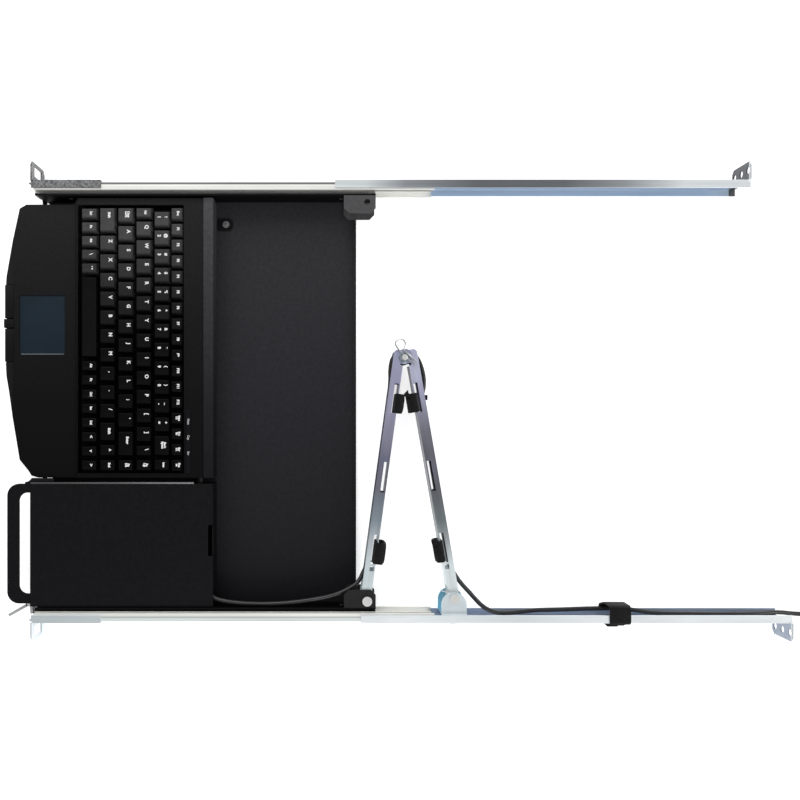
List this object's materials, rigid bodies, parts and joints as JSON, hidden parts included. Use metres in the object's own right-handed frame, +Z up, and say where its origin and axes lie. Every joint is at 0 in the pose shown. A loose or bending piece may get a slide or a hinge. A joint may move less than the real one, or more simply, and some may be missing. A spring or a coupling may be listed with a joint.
{
  "type": "rack keyboard drawer",
  "caption": "Low sliding rack drawer with keyboard, touchpad, mouse platform, pull handle, adjustable rails and folding cable arm.",
  "frame": {"origin": "centre of the footprint of the part without its free lead, at the lower edge of the rack ears", "axes": "+X to the user's right, +Y towards the back of the rack, +Z up; the drawer pulls out along -Y"},
  "size_m": [0.4826, 0.8934, 0.0437],
  "materials": {
    "lead_jacket": "satin moulded cable jacket",
    "plug_moulding": "matte moulded grip with a nickel-plated shell",
    "strap": "woven hook-and-loop tape",
    "zinc_steel": "bright zinc plate, faintly blue",
    "slide_steel": "zinc-plated rolled slide sections",
    "bearing_steel": "bright steel balls in plated cages",
    "hardware": "zinc-plated screws, rivets and pins",
    "black_steel": "black fine-texture powder coat",
    "foot_rubber": "matte",
    "circuit_board": "solder-masked board",
    "dome_rubber": "translucent silicone, matte",
    "pad_film": "smooth matte film",
    "window_plastic": "gloss smoked window",
    "key_plastic": "fine matte key caps",
    "case_plastic": "fine-texture moulded case"
  },
  "bodies": {
    "rails": {"left_outer_slide": "slide_steel", "right_outer_slide": "slide_steel", "left_front_bracket": "zinc_steel", "right_front_bracket": "zinc_steel", "right_rear_bracket": "zinc_steel", "front_rivets": "hardware", "rail_screws": "hardware", "arm_bracket": "zinc_steel", "rail_pivot_pin": "hardware", "rail_strap": "strap", "lead_rail": "lead_jacket", "lead_tail": "lead_jacket", "lead_coil": "lead_jacket", "coil_tie": "strap", "lead_plug": "plug_moulding"},
    "left_rear_rail": {"left_rear_bracket": "zinc_steel"},
    "middle_slides": {"left_middle_slide": "slide_steel", "right_middle_slide": "slide_steel"},
    "outer_ball_cages": {"outer_bearings": "bearing_steel"},
    "inner_ball_cages": {"inner_bearings": "bearing_steel"},
    "drawer": {"left_inner_slide": "slide_steel", "right_inner_slide": "slide_steel", "tray_pan": "black_steel", "tray_screws": "hardware", "rear_lugs": "black_steel", "drawer_pins": "hardware", "mouse_platform": "black_steel", "pull_handle": "black_steel", "latch_bracket": "black_steel", "keyboard_base": "case_plastic", "keyboard_top": "case_plastic", "keyboard_feet": "foot_rubber", "key_board": "circuit_board", "dome_mat": "dome_rubber", "key_guide_plate": "case_plastic", "touch_pad": "pad_film", "indicator_window": "window_plastic", "strain_relief": "case_plastic", "keyboard_clamp": "black_steel", "lead_tray": "lead_jacket"},
    "release_latch": {"release_lever": "zinc_steel"},
    "left_click": {"left_click_button": "case_plastic"},
    "scroll_press": {"scroll_button": "case_plastic"},
    "right_click": {"right_click_button": "case_plastic"},
    "function_row": {"function_keys": "key_plastic"},
    "number_row": {"number_keys": "key_plastic"},
    "upper_letter_row": {"upper_letter_keys": "key_plastic"},
    "home_row": {"home_keys": "key_plastic"},
    "lower_letter_row": {"lower_letter_keys": "key_plastic"},
    "bottom_row": {"bottom_keys": "key_plastic"},
    "space_key": {"space_bar": "key_plastic"},
    "arm_front": {"front_arm": "zinc_steel", "apex_pin": "hardware", "retaining_clip": "hardware", "front_arm_straps": "strap", "lead_front_arm": "lead_jacket"},
    "arm_rear": {"rear_arm": "zinc_steel", "rear_arm_straps": "strap", "lead_rear_arm": "lead_jacket"}
  },
  "joints": [
    {"name": "tray_slide", "type": "slide", "parent": "rails", "child": "drawer", "axis": [0, -1, 0], "range_m": [0, 0.35]},
    {"name": "middle_slide_travel", "type": "slide", "parent": "rails", "child": "middle_slides", "axis": [0, -1, 0], "range_m": [0, 0.176]},
    {"name": "outer_cage_travel", "type": "slide", "parent": "rails", "child": "outer_ball_cages", "axis": [0, -1, 0], "range_m": [0, 0.088]},
    {"name": "inner_cage_travel", "type": "slide", "parent": "rails", "child": "inner_ball_cages", "axis": [0, -1, 0], "range_m": [0, 0.263]},
    {"name": "left_depth_adjust", "type": "slide", "parent": "rails", "child": "left_rear_rail", "axis": [0, 1, 0], "range_m": [-0.165, 0.025]},
    {"name": "arm_front_hinge", "type": "hinge", "parent": "drawer", "child": "arm_front", "pos_m": [0.201, -0.028, 0.02175], "axis": [0, 0, 1], "range_deg": [-53, 0], "deforming": ["lead_tray", "lead_front_arm"]},
    {"name": "arm_rear_hinge", "type": "hinge", "parent": "arm_front", "child": "arm_rear", "pos_m": [-0.04431, 0.00978, 0.02175], "axis": [0, 0, 1], "range_deg": [0, 103.6], "deforming": ["lead_rear_arm", "lead_rail"]},
    {"name": "latch_hinge", "type": "hinge", "parent": "drawer", "child": "release_latch", "pos_m": [0.2045, -0.3694, 0.0216], "axis": [0, 0, 1], "range_deg": [-12, 0], "stiffness_Nm_per_rad": 0.15, "springref_deg": 5.73},
    {"name": "left_click_press", "type": "slide", "parent": "drawer", "child": "left_click", "axis": [0, 0, -1], "range_m": [0, 0.001], "stiffness_N_per_m": 400, "springref_m": -0.001},
    {"name": "scroll_button_press", "type": "slide", "parent": "drawer", "child": "scroll_press", "axis": [0, 0, -1], "range_m": [0, 0.001], "stiffness_N_per_m": 400, "springref_m": -0.001},
    {"name": "right_click_press", "type": "slide", "parent": "drawer", "child": "right_click", "axis": [0, 0, -1], "range_m": [0, 0.001], "stiffness_N_per_m": 400, "springref_m": -0.001},
    {"name": "function_row_press", "type": "slide", "parent": "drawer", "child": "function_row", "axis": [0, 0, -1], "range_m": [0, 0.003], "stiffness_N_per_m": 400, "springref_m": -0.002},
    {"name": "number_row_press", "type": "slide", "parent": "drawer", "child": "number_row", "axis": [0, 0, -1], "range_m": [0, 0.003], "stiffness_N_per_m": 400, "springref_m": -0.002},
    {"name": "upper_letter_row_press", "type": "slide", "parent": "drawer", "child": "upper_letter_row", "axis": [0, 0, -1], "range_m": [0, 0.003], "stiffness_N_per_m": 400, "springref_m": -0.002},
    {"name": "home_row_press", "type": "slide", "parent": "drawer", "child": "home_row", "axis": [0, 0, -1], "range_m": [0, 0.003], "stiffness_N_per_m": 400, "springref_m": -0.002},
    {"name": "lower_letter_row_press", "type": "slide", "parent": "drawer", "child": "lower_letter_row", "axis": [0, 0, -1], "range_m": [0, 0.003], "stiffness_N_per_m": 400, "springref_m": -0.002},
    {"name": "bottom_row_press", "type": "slide", "parent": "drawer", "child": "bottom_row", "axis": [0, 0, -1], "range_m": [0, 0.003], "stiffness_N_per_m": 400, "springref_m": -0.002},
    {"name": "space_key_press", "type": "slide", "parent": "drawer", "child": "space_key", "axis": [0, 0, -1], "range_m": [0, 0.003], "stiffness_N_per_m": 400, "springref_m": -0.002}
  ],
  "couplings": [
    {"joint": "middle_slide_travel", "follows": "tray_slide", "ratio": 0.5},
    {"joint": "outer_cage_travel", "follows": "tray_slide", "ratio": 0.25},
    {"joint": "inner_cage_travel", "follows": "tray_slide", "ratio": 0.75},
    {"joint": "arm_front_hinge", "follows": "tray_slide", "rad_per_m": -2.6348},
    {"joint": "arm_rear_hinge", "follows": "tray_slide", "rad_per_m": 5.1551}
  ]
}
